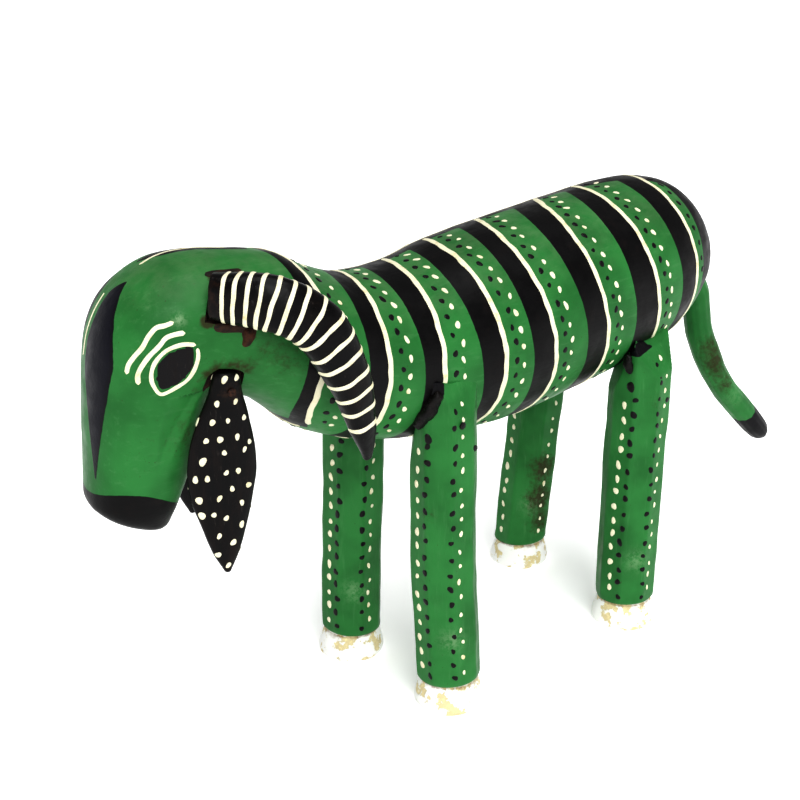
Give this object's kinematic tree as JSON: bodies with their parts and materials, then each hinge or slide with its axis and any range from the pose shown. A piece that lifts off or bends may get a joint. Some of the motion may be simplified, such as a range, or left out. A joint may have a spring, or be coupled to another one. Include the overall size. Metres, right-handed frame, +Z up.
{
  "type": "carved animal figure",
  "caption": "Carved and painted wooden ram on four stick legs, with curled horns, hanging leaf shaped ears that swing on nails and a plugged-in tail.",
  "frame": {"origin": "on the ground, under the middle of the bounding box", "axes": "+Z up, -X the way the figure faces, -Y its left side; +X is its longest extent, from the muzzle to the tail's tip"},
  "size_m": [0.3878, 0.1098, 0.215],
  "materials": {
    "green_paint": "satin hand-painted green with black bands, cream lines and dots, and white hooves",
    "black_paint": "satin hand-painted black with cream lines or dots",
    "rusty_nail": "dull, rusted and painted over",
    "putty": "matte dark filler"
  },
  "bodies": {
    "figure": {"body": "green_paint", "leg_front_left": "green_paint", "leg_front_right": "green_paint", "leg_rear_left": "green_paint", "leg_rear_right": "green_paint", "horn_left": "black_paint", "horn_right": "black_paint", "ear_nail_left": "rusty_nail", "ear_nail_right": "rusty_nail", "horn_nails": "rusty_nail", "leg_nails": "rusty_nail", "horn_putty": "putty", "leg_putty": "putty"},
    "left_ear": {"ear_left": "black_paint"},
    "right_ear": {"ear_right": "black_paint"},
    "tail": {"tail": "green_paint"}
  },
  "joints": [
    {"name": "ear_left_swing", "type": "hinge", "parent": "figure", "child": "left_ear", "pos_m": [-0.15197, -0.01302, 0.1685], "axis": [-0.342, -0.9397, 0], "range_deg": [-15, 12]},
    {"name": "ear_right_swing", "type": "hinge", "parent": "figure", "child": "right_ear", "pos_m": [-0.13418, 0.03585, 0.1685], "axis": [-0.342, -0.9397, 0], "range_deg": [-15, 12]},
    {"name": "tail_plug", "type": "slide", "parent": "figure", "child": "tail", "axis": [0.6496, -0.2598, -0.7145], "range_m": [0, 0.018]}
  ]
}
